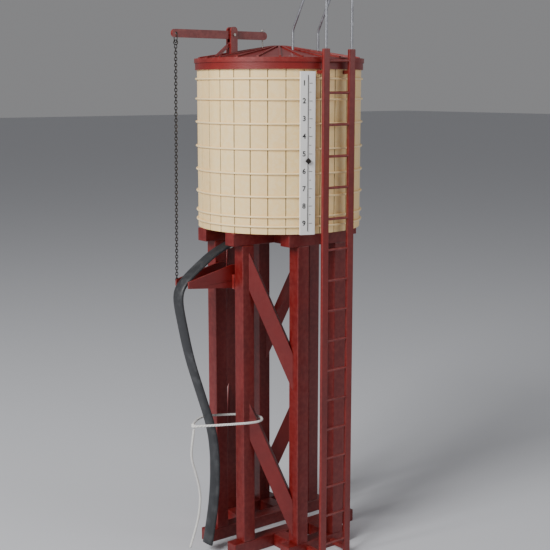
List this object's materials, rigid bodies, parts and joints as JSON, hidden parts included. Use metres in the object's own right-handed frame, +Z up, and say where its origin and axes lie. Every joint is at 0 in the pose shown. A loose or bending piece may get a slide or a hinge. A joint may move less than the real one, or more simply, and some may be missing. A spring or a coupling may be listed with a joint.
{
  "type": "model water tower",
  "caption": "Garden-railway water tower: staved tank on a braced timber tower, with ladder, level gauge, lever and chain, and a hose on a pivoted cradle.",
  "frame": {"origin": "on the ground, on the tank's upright axis, in the middle of the base frame", "axes": "+Z up; the ladder stands on the -Y side; the lever, cradle and hose are on the -X side"},
  "size_m": [0.1936, 0.1621, 0.5291],
  "materials": {
    "red_timber": "satin painted timber, dark red",
    "red_ladder": "satin painted, dark red",
    "cream_staves": "painted timber, cream",
    "cream_hoops": "painted wire, cream",
    "red_roof": "painted timber, dark red",
    "white_board": "painted, white",
    "black_metal": "blackened",
    "grey_wire": "bare wire",
    "red_fittings": "painted, dark red",
    "bare_metal": "bare",
    "black_rubber": "matt rubber",
    "white_string": "twisted string",
    "float_wood": "plain"
  },
  "bodies": {
    "tower": {"base_beam_1": "red_timber", "base_beam_2": "red_timber", "base_beam_3": "red_timber", "base_beam_4": "red_timber", "base_tie_left": "red_timber", "base_tie_right": "red_timber", "brace_lower_1": "red_timber", "brace_lower_2": "red_timber", "brace_lower_3": "red_timber", "brace_lower_4": "red_timber", "brace_upper_1": "red_timber", "brace_upper_2": "red_timber", "brace_upper_3": "red_timber", "brace_upper_4": "red_timber", "gauge_board": "white_board", "gauge_line": "black_metal", "handrail_left": "grey_wire", "handrail_right": "grey_wire", "hinge_block_back": "red_fittings", "hinge_block_front": "red_fittings", "hoops": "cream_hoops", "hose": "black_rubber", "ladder_brackets": "red_ladder", "ladder_rungs": "red_ladder", "ladder_stile_left": "red_ladder", "ladder_stile_right": "red_ladder", "leg_1": "red_timber", "leg_2": "red_timber", "leg_3": "red_timber", "leg_4": "red_timber", "leg_5": "red_timber", "leg_6": "red_timber", "leg_7": "red_timber", "leg_8": "red_timber", "lever_fork": "red_fittings", "outlet_pipe": "bare_metal", "pivot_pins": "bare_metal", "rim_band": "red_roof", "roof_deck": "red_roof", "roof_ribs": "red_roof", "staves": "cream_staves", "tank_floor": "cream_staves", "tie_knot": "white_string", "tie_loop": "white_string", "tie_tail": "white_string", "top_beam_1": "red_timber", "top_beam_2": "red_timber", "top_beam_3": "red_timber", "top_beam_4": "red_timber", "top_tie_left": "red_timber", "top_tie_right": "red_timber"},
    "lever": {"lever_bar": "red_fittings"},
    "chain": {"chain": "black_metal"},
    "cradle": {"cradle_arm_front": "red_fittings", "cradle_arm_back": "red_fittings", "cradle_crossbar": "red_fittings"},
    "valve": {"valve_rod": "bare_metal", "valve_plug": "black_rubber"},
    "pointer": {"gauge_pointer": "black_metal"},
    "float": {"tank_float": "float_wood"}
  },
  "joints": [
    {"name": "lever_tilt", "type": "hinge", "parent": "tower", "child": "lever", "pos_m": [-0.053, 0, 0.474], "axis": [0, 1, 0], "range_deg": [-8.5, 0]},
    {"name": "chain_swing", "type": "hinge", "parent": "lever", "child": "chain", "pos_m": [-0.112, 0, 0.474], "axis": [0, 1, 0], "range_deg": [0, 8.5]},
    {"name": "cradle_tilt", "type": "hinge", "parent": "tower", "child": "cradle", "pos_m": [-0.058, 0, 0.257], "axis": [0, 1, 0], "range_deg": [-10, 0]},
    {"name": "valve_lift", "type": "slide", "parent": "tower", "child": "valve", "axis": [0, 0, 1], "range_m": [0, 0.0051]},
    {"name": "float_slide", "type": "slide", "parent": "tower", "child": "float", "axis": [0, 0, 1], "range_m": [-0.059, 0.048]},
    {"name": "pointer_slide", "type": "slide", "parent": "tower", "child": "pointer", "axis": [0, 0, 1], "range_m": [-0.048, 0.059]}
  ],
  "couplings": [
    {"joint": "chain_swing", "follows": "lever_tilt", "ratio": -1},
    {"joint": "cradle_tilt", "follows": "lever_tilt", "ratio": 1.17},
    {"joint": "valve_lift", "follows": "lever_tilt", "m_per_rad": -0.034},
    {"joint": "pointer_slide", "follows": "float_slide", "ratio": -1}
  ]
}
